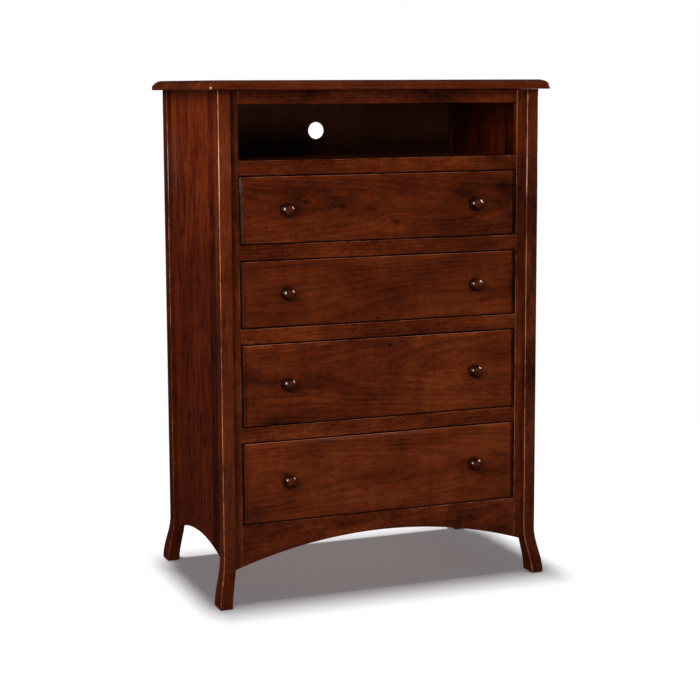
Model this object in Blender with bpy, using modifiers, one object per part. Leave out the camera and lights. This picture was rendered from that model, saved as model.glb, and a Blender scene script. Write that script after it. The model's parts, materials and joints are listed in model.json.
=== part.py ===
"""Media chest: an open compartment under the top, four drawers below it and four flared feet.

Metres, +Z up. The front faces -Y, and +X is the right hand of someone who stands before the chest.
The origin is on the floor, under the middle of the chest.
"""

import math

import bmesh
import bpy
from mathutils import Matrix

COLLECTION = "media_chest"

# Gaps between pieces
JOINT_GAP = 0.0003  # between glued or resting faces
DRAWER_GAP = 0.0025  # round a drawer front in its opening

# Widths
OPENING_WIDTH = 0.779  # clear between the stiles
STILE_WIDTH = 0.0235
POST_WIDTH = 0.0335
POST_DEPTH = 0.040
PANEL_THICKNESS = 0.020  # side panels, flush with the posts inside
CASE_DEPTH = 0.5135  # over the posts

# Heights, from the floor up
APRON_TOP = 0.2085
LARGE_OPENING = 0.2145
SMALL_OPENING = 0.1745
RAIL_HEIGHT = 0.040
SHELF_RAIL_HEIGHT = 0.0385
COMPARTMENT_HEIGHT = 0.139
TOP_RAIL_HEIGHT = 0.037
TOP_THICKNESS = 0.025

# Face frame
FRAME_SETBACK = 0.0143  # behind the front faces of the posts
FRAME_THICKNESS = 0.019

# Arched lower edges, from the inner face of one post to the other
FRONT_ARCH_SPRING = 0.0915
FRONT_ARCH_RISE = 0.0683
SIDE_ARCH_SPRING = 0.100
SIDE_ARCH_RISE = 0.0365

# Flared feet
FLARE_START = 0.125  # height where a post begins to sweep outward
FLARE_SIDE = 0.0175
FLARE_DEPTH = 0.020
FLARE_SIDE_INNER = 0.0165
FLARE_DEPTH_INNER = 0.005
POST_EASE = 0.0022
FOOT_EASE = 0.0044

# Top board
TOP_SIDE_OVERHANG = 0.029
TOP_FRONT_OVERHANG = 0.020
TOP_CORNER_RADIUS = 0.014
TOP_EDGE_WIDTH = 0.026
TOP_EDGE_DROP = 0.0155
TOP_EDGE_BULGE = 0.0035
TOP_BOTTOM_ROUND = 0.0025

# Boards inside the case
SHELF_THICKNESS = 0.018
BACK_THICKNESS = 0.006
BACK_SETBACK = 0.006  # the back panel, inside the back faces of the posts
BACK_RAIL_THICKNESS = 0.019
CLEAT_SIZE = 0.019
CABLE_HOLE_DIAMETER = 0.048
CABLE_HOLE_HEIGHT = 0.060  # its centre above the shelf
BOARD_EASE = 0.0012

# Drawer runners
RUNNER_LEDGE = 0.020  # how far the ledge reaches in from the opening's edge
RUNNER_GUIDE_HEIGHT = 0.035

# Drawers
FRONT_THICKNESS = 0.022
BEVEL_WIDTH = 0.012
BEVEL_DEPTH = 0.004  # the raised field stands this far in front of the face frame
SIDE_THICKNESS = 0.013
SIDE_DROP = 0.006  # the box sides are lower than the front
BOX_BACK_CLEARANCE = 0.012
BACK_BOARD_THICKNESS = 0.013
BACK_BOARD_INSET = 0.010
BACK_BOARD_RAISE = 0.003  # the back board's lower edge, above the bottom
HOUSING_DEPTH = 0.005
BOTTOM_THICKNESS = 0.006
BOTTOM_HEIGHT = 0.010
GROOVE_DEPTH = 0.0062
TAIL_LENGTH = 0.010
TAIL_PITCH = 0.036
TAIL_SLOPE = 1.0 / 7.0
PIN_WIDTH = 0.008
BOTTOM_PIN = 0.003  # from the groove to the lowest tail
TOP_PIN = 0.008

# Knobs
KNOB_FROM_END = 0.122  # its middle, from the end of the drawer front
KNOB_DIAMETER = 0.036
KNOB_PROJECTION = 0.027
KNOB_CAP_THICKNESS = 0.0145
KNOB_CROWN = 0.0085  # the dome in front of the knob's widest circle
KNOB_NECK_DIAMETER = 0.0165
KNOB_BASE_DIAMETER = 0.0225
KNOB_BASE_THICKNESS = 0.0025
TENON_DIAMETER = 0.010
BORE_CLEARANCE = 0.0005

# Facets
ARCH_SEGMENTS = 16
FOOT_RINGS = 10
CORNER_SEGMENTS = 5
EDGE_SEGMENTS = 6
BOTTOM_SEGMENTS = 2
HOLE_SIDES = 32
KNOB_STEPS = 20
DOME_SEGMENTS = 5
UNDERSIDE_SEGMENTS = 2
COVE_SEGMENTS = 2
SMOOTH_ANGLE = math.radians(35)
MERGE_DISTANCE = 1e-5
FLAT_ANGLE = math.radians(0.5)  # faces that bend less than this become one

# Places worked out from the sizes
OPENING_HALF = OPENING_WIDTH / 2
INNER_HALF = OPENING_HALF + STILE_WIDTH
CASE_HALF = INNER_HALF + POST_WIDTH
CASE_FRONT = -CASE_DEPTH / 2
CASE_BACK = CASE_DEPTH / 2
POST_INNER_Y = CASE_BACK - POST_DEPTH
FRAME_FRONT = CASE_FRONT + FRAME_SETBACK
FRAME_BACK = FRAME_FRONT + FRAME_THICKNESS
BACK_PANEL_FRONT = CASE_BACK - BACK_SETBACK - BACK_THICKNESS
BACK_RAIL_FRONT = BACK_PANEL_FRONT - JOINT_GAP - BACK_RAIL_THICKNESS

# Each drawer opening as (bottom, height), the top drawer first
OPENINGS = []
level = APRON_TOP
for opening_height in (LARGE_OPENING, LARGE_OPENING, SMALL_OPENING, SMALL_OPENING):
    OPENINGS.insert(0, (level, opening_height))
    level += opening_height + RAIL_HEIGHT
SHELF_RAIL_BOTTOM = level - RAIL_HEIGHT
SHELF_TOP = SHELF_RAIL_BOTTOM + SHELF_RAIL_HEIGHT
TOP_RAIL_BOTTOM = SHELF_TOP + COMPARTMENT_HEIGHT
CASE_TOP = TOP_RAIL_BOTTOM + TOP_RAIL_HEIGHT

# A drawer front's back face, and the room behind it
FRONT_BACK_Y = FRAME_FRONT + FRONT_THICKNESS - BEVEL_DEPTH
BOX_LENGTH = BACK_RAIL_FRONT - BOX_BACK_CLEARANCE - FRONT_BACK_Y - JOINT_GAP
DRAWER_HALF = OPENING_HALF - DRAWER_GAP
BOX_INNER_HALF = DRAWER_HALF - SIDE_THICKNESS
KNOB_HALF = DRAWER_HALF - KNOB_FROM_END

# Turns an outline drawn in XY so that it lies in the named plane, with its thickness across
IN_YZ = Matrix(((0, 0, 1), (1, 0, 0), (0, 1, 0)))
IN_XZ = Matrix(((1, 0, 0), (0, 0, -1), (0, 1, 0)))


def clear_scene():
    """Removes every object, mesh, curve, material and collection of an earlier run."""
    for obj in list(bpy.data.objects):
        bpy.data.objects.remove(obj, do_unlink=True)
    for store in (bpy.data.meshes, bpy.data.curves, bpy.data.materials, bpy.data.collections):
        for block in list(store):
            store.remove(block)


def make_collection(name):
    collection = bpy.data.collections.new(name)
    bpy.context.scene.collection.children.link(collection)
    return collection


def make_material(name, color, roughness):
    """A Principled material, plain here."""
    material = bpy.data.materials.new(name)
    material.use_nodes = True
    shader = material.node_tree.nodes["Principled BSDF"]
    shader.inputs["Base Color"].default_value = (*color, 1.0)
    shader.inputs["Roughness"].default_value = roughness
    shader.inputs["Metallic"].default_value = 0.0
    material.diffuse_color = (*color, 1.0)
    return material


def add_object(name, data, place=(0, 0, 0), color=None, parent=None, collection=None):
    """Links an object; a color (a colour and its roughness) gives it its own material."""
    obj = bpy.data.objects.new(name, data)
    obj.location = place
    obj.parent = parent
    (collection or parts).objects.link(obj)
    if color:
        data.materials.append(make_material(name, *color))
    return obj


def add_empty(name, place):
    empty = bpy.data.objects.new(name, None)
    empty.location = place
    empty.empty_display_size = 0.05
    parts.objects.link(empty)
    return empty


def box_mesh(name, size):
    """A cube primitive of the given size, centred on its origin."""
    mesh = bpy.data.meshes.new(name)
    bm = bmesh.new()
    bmesh.ops.create_cube(bm, size=1.0)
    bmesh.ops.scale(bm, vec=size, verts=bm.verts)
    bm.to_mesh(mesh)
    bm.free()
    return mesh


def board(name, x_span, y_span, z_span, color, parent=None, ease_width=0.0):
    """A straight board between two limits on each axis."""
    spans = (x_span, y_span, z_span)
    size = [high - low for low, high in spans]
    middle = [(high + low) / 2 for low, high in spans]
    obj = add_object(name, box_mesh(name, size), middle, color, parent)
    if ease_width:
        ease(obj, ease_width)
    return obj


def ease(obj, width):
    """Breaks the sharp edges of a board."""
    bevel = obj.modifiers.new("eased_edges", "BEVEL")
    bevel.width = width
    bevel.segments = 1
    bevel.limit_method = "ANGLE"
    bevel.angle_limit = SMOOTH_ANGLE


def smooth(obj):
    obj.data.shade_smooth()
    obj.data.set_sharp_from_angle(angle=SMOOTH_ANGLE)


def outline_mesh(name, loops, thickness):
    """A flat outline, with any holes as further loops, given its thickness and made a closed mesh."""
    curve = bpy.data.curves.new(name + "_outline", "CURVE")
    curve.dimensions = "2D"
    curve.fill_mode = "BOTH"
    curve.extrude = thickness / 2
    for loop in loops:
        spline = curve.splines.new("POLY")
        spline.points.add(len(loop) - 1)
        for point, (u, v) in zip(spline.points, loop):
            point.co = (u, v, 0.0, 1.0)
        spline.use_cyclic_u = True
    sketch = add_object(name + "_outline", curve)
    bpy.context.view_layer.update()
    evaluated = sketch.evaluated_get(bpy.context.evaluated_depsgraph_get())
    mesh = bpy.data.meshes.new_from_object(evaluated)
    mesh.name = name
    bpy.data.objects.remove(sketch)
    bpy.data.curves.remove(curve)
    bm = bmesh.new()
    bm.from_mesh(mesh)
    bmesh.ops.remove_doubles(bm, verts=bm.verts, dist=MERGE_DISTANCE)
    bmesh.ops.dissolve_limit(bm, angle_limit=FLAT_ANGLE, verts=bm.verts, edges=bm.edges)
    bmesh.ops.recalc_face_normals(bm, faces=bm.faces)
    bm.to_mesh(mesh)
    bm.free()
    return mesh


def outline_solid(name, loops, thickness, plane, place, color=None, parent=None, collection=None):
    """An outline solid turned into its plane; place is the outline's origin at half the thickness."""
    mesh = outline_mesh(name, loops, thickness)
    obj = add_object(name, mesh, place, color, parent, collection)
    obj.rotation_euler = plane.to_euler()
    return obj


def cut(obj, cutter):
    """Takes the cutter's shape out of obj."""
    cutter.hide_render = True
    cutter.display_type = "WIRE"
    boolean = obj.modifiers.new("cut_" + cutter.name, "BOOLEAN")
    boolean.operation = "DIFFERENCE"
    boolean.solver = "EXACT"
    boolean.object = cutter


def box_cutter(name, x_span, y_span, z_span, parent):
    spans = (x_span, y_span, z_span)
    size = [high - low for low, high in spans]
    middle = [(high + low) / 2 for low, high in spans]
    return add_object(name, box_mesh(name, size), middle, parent=parent, collection=cutters)


def quarter_turn(segments):
    """(sine, cosine) pairs from 0 to 90 degrees."""
    angles = [math.pi / 2 * i / segments for i in range(segments + 1)]
    return [(math.sin(a), math.cos(a)) for a in angles]


def circle_points(radius, sides, centre=(0.0, 0.0)):
    angles = [2 * math.pi * i / sides for i in range(sides)]
    return [(centre[0] + radius * math.cos(a), centre[1] + radius * math.sin(a)) for a in angles]


def arch_height(offset, half_span, spring, rise):
    """Height of a circular arch at an offset from its middle; it springs from both ends of its span."""
    radius = (half_span**2 + rise**2) / (2 * rise)
    return spring + rise - radius + math.sqrt(radius**2 - offset**2)


def arch_points(left, right, half_span, spring, rise, segments):
    """Points along an arch between two offsets from its middle, left to right."""
    offsets = [left + (right - left) * i / segments for i in range(segments + 1)]
    return [(u, arch_height(u, half_span, spring, rise)) for u in offsets]


def front_arch(left, right, segments):
    return arch_points(left, right, INNER_HALF, FRONT_ARCH_SPRING, FRONT_ARCH_RISE, segments)


def foot_sweep(height):
    """Share of the flare reached at a height: an S curve from 0 where it starts to 1 at the floor."""
    progress = max(0.0, 1.0 - height / FLARE_START)
    return math.sin(progress * math.pi / 2) ** 2


def make_post(name, side, end):
    """A corner post with its flared foot. side is -1 for left, end is -1 for the front."""
    mesh = bpy.data.meshes.new(name)
    bm = bmesh.new()
    bmesh.ops.create_cube(bm, size=1.0)
    bmesh.ops.scale(bm, vec=(POST_WIDTH, POST_DEPTH, CASE_TOP - JOINT_GAP), verts=bm.verts)
    bmesh.ops.translate(bm, vec=(0, 0, (CASE_TOP - JOINT_GAP) / 2), verts=bm.verts)
    for ring in range(FOOT_RINGS):
        height = FLARE_START * (1 - ring / FOOT_RINGS)
        geometry = bm.verts[:] + bm.edges[:] + bm.faces[:]
        bmesh.ops.bisect_plane(bm, geom=geometry, plane_co=(0, 0, height), plane_no=(0, 0, 1))
    weights = bm.edges.layers.float.new("bevel_weight_edge")
    for edge in bm.edges:
        low, high = sorted(vert.co.z for vert in edge.verts)
        if high < JOINT_GAP:
            edge[weights] = 1.0
        elif high - low > JOINT_GAP:
            edge[weights] = POST_EASE / FOOT_EASE
    for vert in bm.verts:
        sweep = foot_sweep(vert.co.z)
        outer_x = vert.co.x * side > 0
        outer_y = vert.co.y * end > 0
        vert.co.x += side * sweep * (FLARE_SIDE if outer_x else FLARE_SIDE_INNER)
        vert.co.y += end * sweep * (FLARE_DEPTH if outer_y else FLARE_DEPTH_INNER)
    bm.to_mesh(mesh)
    bm.free()
    middle = (side * (CASE_HALF - POST_WIDTH / 2), end * (CASE_BACK - POST_DEPTH / 2), 0)
    post = add_object(name, mesh, middle, FRAME_WOOD)
    bevel = post.modifiers.new("eased_edges", "BEVEL")
    bevel.width = FOOT_EASE
    bevel.segments = 2
    bevel.limit_method = "WEIGHT"
    smooth(post)


def top_outline(inset):
    """The top's plan, drawn in by inset: square at the back, with rounded front corners."""
    half = CASE_HALF + TOP_SIDE_OVERHANG - inset
    front = CASE_FRONT - TOP_FRONT_OVERHANG + inset
    radius = max(TOP_CORNER_RADIUS - inset, TOP_CORNER_RADIUS / 8)
    points = [(-half, CASE_BACK)]
    for sign, start in ((-1, math.pi), (1, 1.5 * math.pi)):
        for step in range(CORNER_SEGMENTS + 1):
            angle = start + math.pi / 2 * step / CORNER_SEGMENTS
            middle = sign * (half - radius)
            points.append((middle + radius * math.cos(angle), front + radius + radius * math.sin(angle)))
    points.append((half, CASE_BACK))
    return points


def top_profile():
    """(inset, height) pairs up the top's moulded edge, from its underside to its flat top."""
    points = []
    for sine, cosine in quarter_turn(BOTTOM_SEGMENTS):
        points.append((TOP_BOTTOM_ROUND * (1 - sine), TOP_BOTTOM_ROUND * (1 - cosine)))
    chord = math.hypot(TOP_EDGE_WIDTH, TOP_EDGE_DROP)
    for step in range(EDGE_SEGMENTS + 1):
        share = step / EDGE_SEGMENTS
        bulge = TOP_EDGE_BULGE * 4 * share * (1 - share)
        inset = TOP_EDGE_WIDTH * share - bulge * TOP_EDGE_DROP / chord
        height = TOP_THICKNESS - TOP_EDGE_DROP * (1 - share) + bulge * TOP_EDGE_WIDTH / chord
        points.append((inset, height))
    return points


def make_top():
    """The top board, a loft through its plan at each step of the edge's profile."""
    mesh = bpy.data.meshes.new("top_board")
    bm = bmesh.new()
    rings = [[bm.verts.new((x, y, z)) for x, y in top_outline(inset)] for inset, z in top_profile()]
    count = len(rings[0])
    for lower, upper in zip(rings, rings[1:]):
        for i in range(count):
            j = (i + 1) % count
            bm.faces.new((lower[i], lower[j], upper[j], upper[i]))
    bm.faces.new(reversed(rings[0]))
    bm.faces.new(rings[-1])
    bm.to_mesh(mesh)
    bm.free()
    top = add_object("top_board", mesh, (0, 0, CASE_TOP), FRAME_WOOD)
    smooth(top)


def make_side_panel(name, side):
    """A side panel between two posts, arched along its lower edge."""
    half = POST_INNER_Y - JOINT_GAP
    arch = arch_points(-half, half, POST_INNER_Y, SIDE_ARCH_SPRING, SIDE_ARCH_RISE, ARCH_SEGMENTS)
    top = CASE_TOP - JOINT_GAP
    middle = side * (INNER_HALF + PANEL_THICKNESS / 2)
    outline = arch + [(half, top), (-half, top)]
    panel = outline_solid(name, [outline], PANEL_THICKNESS, IN_YZ, (middle, 0, 0), FRAME_WOOD)
    ease(panel, BOARD_EASE)


def frame_outline(name, outline):
    """A piece of the face frame drawn in XZ."""
    place = (0, (FRAME_FRONT + FRAME_BACK) / 2, 0)
    piece = outline_solid(name, [outline], FRAME_THICKNESS, IN_XZ, place, FRAME_WOOD)
    ease(piece, BOARD_EASE)


def make_face_frame():
    """Two stiles from the top down to the arch, with the rails and the apron between them."""
    for name, side in (("left", -1), ("right", 1)):
        inner = side * OPENING_HALF
        outer = side * (INNER_HALF - JOINT_GAP)
        arch = front_arch(min(inner, outer), max(inner, outer), 2)
        top = CASE_TOP - JOINT_GAP
        frame_outline("stile_" + name, arch + [(arch[-1][0], top), (arch[0][0], top)])
    half = OPENING_HALF - JOINT_GAP
    rails = [("top_rail", TOP_RAIL_BOTTOM, CASE_TOP - JOINT_GAP)]
    rails.append(("shelf_rail", SHELF_RAIL_BOTTOM, SHELF_TOP))
    for number, (bottom, _) in enumerate(OPENINGS[:-1], start=1):
        rails.append((f"drawer_rail_{number}", bottom - RAIL_HEIGHT, bottom))
    depth = (FRAME_FRONT, FRAME_BACK)
    for name, low, high in rails:
        board(name, (-half, half), depth, (low, high), FRAME_WOOD, ease_width=BOARD_EASE)
    arch = front_arch(-half, half, ARCH_SEGMENTS)
    frame_outline("apron", arch + [(half, APRON_TOP), (-half, APRON_TOP)])


def make_back():
    """The back panel with its cable hole, and the rails that it is screwed to."""
    half = INNER_HALF - JOINT_GAP
    low = APRON_TOP - RAIL_HEIGHT
    high = CASE_TOP - JOINT_GAP
    hole = circle_points(CABLE_HOLE_DIAMETER / 2, HOLE_SIDES, (0, SHELF_TOP + CABLE_HOLE_HEIGHT))
    outline = [(-half, low), (half, low), (half, high), (-half, high)]
    place = (0, BACK_PANEL_FRONT + BACK_THICKNESS / 2, 0)
    outline_solid("back_panel", [outline, hole], BACK_THICKNESS, IN_XZ, place, PLAIN_WOOD)
    depth = (BACK_RAIL_FRONT, BACK_RAIL_FRONT + BACK_RAIL_THICKNESS)
    board("back_rail_top", (-half, half), depth, (TOP_RAIL_BOTTOM, high), PLAIN_WOOD, ease_width=BOARD_EASE)
    low_span = (low, APRON_TOP - JOINT_GAP)
    board("back_rail_bottom", (-half, half), depth, low_span, PLAIN_WOOD, ease_width=BOARD_EASE)


def make_shelf():
    """The floor of the media compartment, and what holds it and the top."""
    half = INNER_HALF - JOINT_GAP
    depth = (FRAME_BACK + JOINT_GAP, BACK_PANEL_FRONT - JOINT_GAP)
    shelf_bottom = SHELF_TOP - SHELF_THICKNESS
    board("compartment_shelf", (-half, half), depth, (shelf_bottom, SHELF_TOP), FRAME_WOOD)
    for name, side in (("left", -1), ("right", 1)):
        inner = side * (OPENING_HALF - RUNNER_LEDGE)
        outer = side * half
        heights = (SHELF_RAIL_BOTTOM, shelf_bottom - JOINT_GAP)
        board("shelf_cleat_" + name, tuple(sorted((inner, outer))), depth, heights, PLAIN_WOOD)
        inner = side * (half - CLEAT_SIZE)
        top = CASE_TOP - JOINT_GAP
        depth_front = (depth[0], BACK_RAIL_FRONT - JOINT_GAP)
        span = tuple(sorted((inner, outer)))
        board("top_cleat_" + name, span, depth_front, (top - CLEAT_SIZE, top), PLAIN_WOOD)


def make_runner(name, side, opening_bottom):
    """An L-shaped runner: the drawer side slides on its ledge, along its guide."""
    ledge_top = opening_bottom + DRAWER_GAP - JOINT_GAP
    wall = side * (INNER_HALF - JOINT_GAP)
    guide = side * OPENING_HALF
    tip = side * (OPENING_HALF - RUNNER_LEDGE)
    low = opening_bottom - RAIL_HEIGHT
    high = ledge_top + RUNNER_GUIDE_HEIGHT
    outline = [(tip, low), (wall, low), (wall, high), (guide, high), (guide, ledge_top), (tip, ledge_top)]
    front = FRAME_BACK + JOINT_GAP
    back = BACK_RAIL_FRONT - JOINT_GAP
    outline_solid(name, [outline], back - front, IN_XZ, (0, (front + back) / 2, 0), PLAIN_WOOD)


def tail_places(height):
    """The middles of the dovetails on a drawer side of this height, and their half width at the root."""
    lowest = bottom_span()[1] + BOTTOM_PIN
    room = height - TOP_PIN - lowest
    count = max(2, round(room / TAIL_PITCH))
    pitch = (room + PIN_WIDTH) / count
    half = (pitch - PIN_WIDTH) / 2
    return [lowest + half + i * pitch for i in range(count)], half


def make_drawer_side(name, side, height, parent):
    """A box side: dovetails in front, a groove for the bottom and a housing for the back."""
    middles, root = tail_places(height)
    tip = root + TAIL_LENGTH * TAIL_SLOPE
    outline = [(0, 0), (BOX_LENGTH, 0), (BOX_LENGTH, height), (0, height)]
    for middle in reversed(middles):
        outline += [(0, middle + root), (-TAIL_LENGTH, middle + tip)]
        outline += [(-TAIL_LENGTH, middle - tip), (0, middle - root)]
    x_middle = side * (DRAWER_HALF - SIDE_THICKNESS / 2)
    place = (x_middle, JOINT_GAP, 0)
    piece = outline_solid(name, [outline], SIDE_THICKNESS, IN_YZ, place, BOX_WOOD, parent)
    inner = side * BOX_INNER_HALF
    groove_x = tuple(sorted((inner - side * SIDE_THICKNESS, inner + side * (GROOVE_DEPTH + JOINT_GAP))))
    housing_x = tuple(sorted((inner - side * SIDE_THICKNESS, inner + side * (HOUSING_DEPTH + JOINT_GAP))))
    low, high = bottom_span()
    groove_z = (low - JOINT_GAP, high + JOINT_GAP)
    groove_y = (-TAIL_LENGTH - JOINT_GAP, BOX_LENGTH + TAIL_LENGTH)
    cut(piece, box_cutter(name + "_groove", groove_x, groove_y, groove_z, parent))
    front, back = back_span()
    housing_y = (front - JOINT_GAP, back + JOINT_GAP)
    housing_z = (high + BACK_BOARD_RAISE, height + SIDE_THICKNESS)
    cut(piece, box_cutter(name + "_housing", housing_x, housing_y, housing_z, parent))


def bottom_span():
    """The drawer bottom's lower and upper face, above the drawer's lower edge."""
    return BOTTOM_HEIGHT, BOTTOM_HEIGHT + BOTTOM_THICKNESS


def back_span():
    """The front and back face of a drawer's back board, behind the drawer front."""
    back = JOINT_GAP + BOX_LENGTH - BACK_BOARD_INSET
    return back - BACK_BOARD_THICKNESS, back


def make_drawer_front(name, height, side_height, parent):
    """A drawer front with a raised field, dovetail sockets, a groove and two bored holes."""
    edge = FRONT_THICKNESS - BEVEL_DEPTH
    mesh = bpy.data.meshes.new(name)
    bm = bmesh.new()
    bmesh.ops.create_cube(bm, size=1.0)
    bmesh.ops.scale(bm, vec=(2 * DRAWER_HALF, edge, height), verts=bm.verts)
    bmesh.ops.translate(bm, vec=(0, -edge / 2, height / 2), verts=bm.verts)
    bm.faces.ensure_lookup_table()
    face = min(bm.faces, key=lambda f: f.calc_center_median().y)
    bmesh.ops.inset_region(bm, faces=[face], thickness=BEVEL_WIDTH, depth=BEVEL_DEPTH)
    bm.to_mesh(mesh)
    bm.free()
    front = add_object(name, mesh, color=DRAWER_WOOD, parent=parent)

    middles, root = tail_places(side_height)
    reach = TAIL_LENGTH + JOINT_GAP
    for hand, side in (("left", -1), ("right", 1)):
        loops = []
        for middle in middles:
            near = root + JOINT_GAP - TAIL_SLOPE * TAIL_LENGTH
            far = root + JOINT_GAP + TAIL_SLOPE * reach
            loops.append([(TAIL_LENGTH, middle - near), (TAIL_LENGTH, middle + near),
                          (-reach, middle + far), (-reach, middle - far)])
        depth = 2 * SIDE_THICKNESS
        place = (side * (BOX_INNER_HALF - JOINT_GAP + depth / 2), JOINT_GAP, 0)
        sockets = outline_solid(f"{name}_sockets_{hand}", loops, depth, IN_YZ, place, None, parent, cutters)
        cut(front, sockets)

    low, high = bottom_span()
    half = BOX_INNER_HALF + GROOVE_DEPTH + JOINT_GAP
    groove_y = (-GROOVE_DEPTH - JOINT_GAP, TAIL_LENGTH)
    groove_z = (low - JOINT_GAP, high + JOINT_GAP)
    cut(front, box_cutter(name + "_groove", (-half, half), groove_y, groove_z, parent))
    for hand, side in (("left", -1), ("right", 1)):
        circle = circle_points(TENON_DIAMETER / 2 + BORE_CLEARANCE, KNOB_STEPS)
        place = (side * KNOB_HALF, 0, height / 2)
        depth = 3 * FRONT_THICKNESS
        bore = outline_solid(f"{name}_bore_{hand}", [circle], depth, IN_XZ, place, None, parent, cutters)
        cut(front, bore)


def knob_profile():
    """(radius, distance in front of the field) down the outside of a knob, from its crown to its tenon."""
    radius = KNOB_DIAMETER / 2
    neck = KNOB_NECK_DIAMETER / 2
    base = KNOB_BASE_DIAMETER / 2
    tenon = TENON_DIAMETER / 2
    widest = KNOB_PROJECTION - KNOB_CROWN
    cap_back = KNOB_PROJECTION - KNOB_CAP_THICKNESS
    tenon_end = JOINT_GAP - FRONT_THICKNESS
    points = [(radius * sine, widest + KNOB_CROWN * cosine) for sine, cosine in quarter_turn(DOME_SEGMENTS)]
    for sine, cosine in quarter_turn(UNDERSIDE_SEGMENTS)[1:]:
        points.append((neck + (radius - neck) * cosine, widest - (widest - cap_back) * sine))
    for sine, cosine in quarter_turn(COVE_SEGMENTS)[1:]:
        points.append((base - (base - neck) * cosine, cap_back - (cap_back - KNOB_BASE_THICKNESS) * sine))
    return points + [(base, JOINT_GAP), (tenon, JOINT_GAP), (tenon, tenon_end), (0.0, tenon_end)]


def make_knob(name, side, height, parent):
    """A turned knob, made in one with the tenon that is glued in the drawer front."""
    mesh = bpy.data.meshes.new(name)
    bm = bmesh.new()
    verts = [bm.verts.new((r, 0, z)) for r, z in knob_profile()]
    for first, second in zip(verts, verts[1:]):
        bm.edges.new((first, second))
    bm.to_mesh(mesh)
    bm.free()
    place = (side * KNOB_HALF, -FRONT_THICKNESS, height / 2)
    knob = add_object(name, mesh, place, KNOB_WOOD, parent)
    knob.rotation_euler = (math.pi / 2, 0, 0)
    turn = knob.modifiers.new("turned", "SCREW")
    turn.axis = "Z"
    turn.angle = 2 * math.pi
    turn.steps = KNOB_STEPS
    turn.render_steps = KNOB_STEPS
    turn.use_merge_vertices = True
    turn.merge_threshold = MERGE_DISTANCE
    turn.use_smooth_shade = True


def make_drawer(number, opening_bottom, opening_height):
    """One drawer, on an empty at the lower edge of its front's back face. It slides along -Y."""
    name = f"drawer_{number}"
    slide = add_empty(name + "_slide", (0, FRONT_BACK_Y, opening_bottom + DRAWER_GAP))
    height = opening_height - 2 * DRAWER_GAP
    side_height = height - SIDE_DROP
    make_drawer_front(name + "_front", height, side_height, slide)
    for hand, side in (("left", -1), ("right", 1)):
        make_drawer_side(f"{name}_side_{hand}", side, side_height, slide)
        make_knob(f"{name}_knob_{hand}", side, height, slide)
    low, high = bottom_span()
    half = BOX_INNER_HALF + GROOVE_DEPTH
    bottom_y = (-GROOVE_DEPTH, JOINT_GAP + BOX_LENGTH)
    board(name + "_bottom", (-half, half), bottom_y, (low, high), BOX_WOOD, slide)
    half = BOX_INNER_HALF + HOUSING_DEPTH
    back_z = (high + BACK_BOARD_RAISE + JOINT_GAP, side_height)
    board(name + "_back", (-half, half), back_span(), back_z, BOX_WOOD, slide)


def build():
    for name, side in (("left", -1), ("right", 1)):
        make_post("post_front_" + name, side, -1)
        make_post("post_back_" + name, side, 1)
        make_side_panel("side_panel_" + name, side)
    make_top()
    make_face_frame()
    make_back()
    make_shelf()
    for number, (bottom, height) in enumerate(OPENINGS, start=1):
        for name, side in (("left", -1), ("right", 1)):
            make_runner(f"runner_{number}_{name}", side, bottom)
        make_drawer(number, bottom, height)


# Each finish as a colour and a roughness; the last two are for pieces inside the case and the drawers
FRAME_WOOD = ((0.10, 0.022, 0.009), 0.35)
DRAWER_WOOD = ((0.12, 0.028, 0.010), 0.35)
KNOB_WOOD = ((0.06, 0.012, 0.006), 0.22)
PLAIN_WOOD = ((0.16, 0.05, 0.02), 0.6)
BOX_WOOD = ((0.55, 0.36, 0.20), 0.5)

clear_scene()
parts = make_collection(COLLECTION)
cutters = make_collection("cutters")
build()
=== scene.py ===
"""Media chest in dark stained wood: the looks of each piece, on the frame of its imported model.

Metres, +Z up. The drawers face -Y, and +X is the right hand of someone who stands before the chest.
"""
import json
import math

import bmesh
import bpy
import numpy as np
from mathutils import Matrix, Vector

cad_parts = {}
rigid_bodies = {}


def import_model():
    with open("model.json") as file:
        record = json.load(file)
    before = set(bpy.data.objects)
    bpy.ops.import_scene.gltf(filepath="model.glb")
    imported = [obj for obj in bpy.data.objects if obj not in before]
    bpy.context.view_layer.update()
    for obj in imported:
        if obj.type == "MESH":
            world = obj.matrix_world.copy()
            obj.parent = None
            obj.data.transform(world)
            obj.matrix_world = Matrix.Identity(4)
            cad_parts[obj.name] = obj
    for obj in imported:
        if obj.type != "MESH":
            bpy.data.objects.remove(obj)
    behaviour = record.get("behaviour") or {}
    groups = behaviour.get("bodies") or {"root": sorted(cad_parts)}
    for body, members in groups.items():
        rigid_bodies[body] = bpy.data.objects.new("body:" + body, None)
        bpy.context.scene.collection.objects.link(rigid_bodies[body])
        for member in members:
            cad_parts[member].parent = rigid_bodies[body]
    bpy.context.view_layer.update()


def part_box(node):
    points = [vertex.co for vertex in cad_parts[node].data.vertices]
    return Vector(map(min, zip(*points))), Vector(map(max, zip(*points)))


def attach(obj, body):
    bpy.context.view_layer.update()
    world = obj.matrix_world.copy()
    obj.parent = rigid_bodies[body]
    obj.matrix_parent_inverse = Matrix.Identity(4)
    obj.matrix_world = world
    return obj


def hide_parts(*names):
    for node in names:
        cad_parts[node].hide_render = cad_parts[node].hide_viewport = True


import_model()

X, Y, Z = 0, 1, 2
compartment_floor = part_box("compartment_shelf")[1][Z]


# Rounded outlines and the skins over them

BOARD_ARRIS = 0.0014
END_ARRIS = 0.0004  # where a board's end meets another board
HOLDING = 0.0004  # a line this far beside a rounded edge keeps the flat face flat
ARC_STEPS = 5
ARCH_SAMPLES = 64


def unit(vectors):
    """Each vector over its own length."""
    return vectors / np.linalg.norm(vectors, axis=-1, keepdims=True)


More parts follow.
